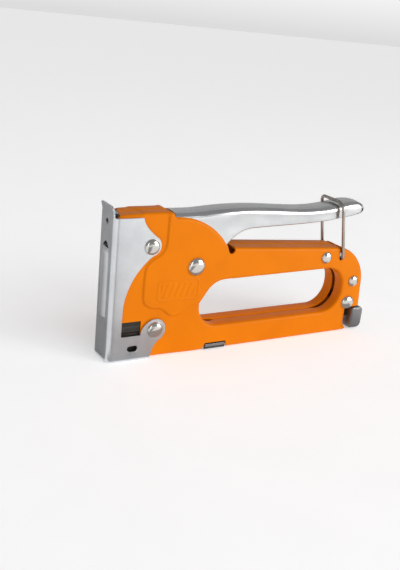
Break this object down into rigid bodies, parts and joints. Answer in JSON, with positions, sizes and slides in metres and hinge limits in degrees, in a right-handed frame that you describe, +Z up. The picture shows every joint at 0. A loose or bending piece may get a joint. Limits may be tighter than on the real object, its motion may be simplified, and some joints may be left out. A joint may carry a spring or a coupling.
{
  "type": "staple gun",
  "caption": "Hand staple gun: pressed sheet-metal body with finger hole, chromed lever held by a wire bail, U-shaped nose, spring-driven plunger and a pull-out staple magazine.",
  "frame": {"origin": "centre of the bottom edge of the nose's front wall, on the surface that the nose is pressed against", "axes": "+X from the nose to the heel, +Y to the user's right when the nose points away, +Z up from the nose base to the lever"},
  "size_m": [0.1849, 0.024, 0.089],
  "materials": {
    "orange_enamel": "gloss enamel",
    "nose_steel": "satin nickel plate",
    "zinc_steel": "bright zinc plate",
    "dark_steel": "oiled dark steel",
    "black_rubber": "matt",
    "polished_rivet": "polished nickel plate",
    "chrome_lever": "bright chrome plate",
    "spring_wire": "drawn spring wire",
    "bail_wire": "nickel-plated wire",
    "catch_steel": "tumbled zinc plate",
    "staple_wire": "galvanised wire"
  },
  "bodies": {
    "frame": {"left_shell": "orange_enamel", "right_shell": "orange_enamel", "nose_plate": "nose_steel", "driver_guide": "zinc_steel", "track_bracket": "dark_steel", "impact_bumper": "black_rubber", "nose_rivets": "polished_rivet", "lever_pivot_rivet": "polished_rivet", "lever_bush": "zinc_steel", "rear_rivets": "polished_rivet", "heel_rivet": "polished_rivet", "spacer_sleeves": "zinc_steel", "lever_return_spring": "spring_wire", "bail_bracket": "zinc_steel", "mainspring": "spring_wire", "spring_seat": "zinc_steel", "magazine_channel": "dark_steel", "staple_strip": "staple_wire"},
    "lever": {"lever": "chrome_lever", "lifting_pin": "zinc_steel"},
    "bail": {"wire_bail": "bail_wire"},
    "plunger": {"plunger": "zinc_steel", "driver_blade": "zinc_steel"},
    "magazine": {"magazine_rail": "zinc_steel", "magazine_catch": "catch_steel", "rod_anchor": "zinc_steel", "pusher_rod": "zinc_steel", "pusher_spring": "spring_wire"},
    "pusher": {"pusher": "zinc_steel"}
  },
  "joints": [
    {"name": "lever_squeeze", "type": "hinge", "parent": "frame", "child": "lever", "pos_m": [0.0513, 0, 0.0532], "axis": [0, 1, 0], "range_deg": [0, 9.5], "stiffness_Nm_per_rad": 1.5, "springref_deg": -20.05, "deforming": ["lever_return_spring"]},
    {"name": "plunger_lift", "type": "slide", "parent": "frame", "child": "plunger", "axis": [0, 0, 1], "range_m": [0, 0.0056], "stiffness_N_per_m": 800, "springref_m": -0.008, "deforming": ["mainspring"]},
    {"name": "bail_swing", "type": "hinge", "parent": "frame", "child": "bail", "pos_m": [0.1573, 0, 0.051], "axis": [0, 1, 0], "range_deg": [0, 125]},
    {"name": "magazine_slide", "type": "slide", "parent": "frame", "child": "magazine", "axis": [1, 0, 0], "range_m": [0, 0.1]},
    {"name": "pusher_slide", "type": "slide", "parent": "magazine", "child": "pusher", "axis": [1, 0, 0], "range_m": [0, 0.09], "stiffness_N_per_m": 25, "springref_m": -0.06, "deforming": ["pusher_spring"]}
  ],
  "couplings": [
    {"joint": "plunger_lift", "follows": "lever_squeeze", "m_per_rad": 0.0332}
  ]
}
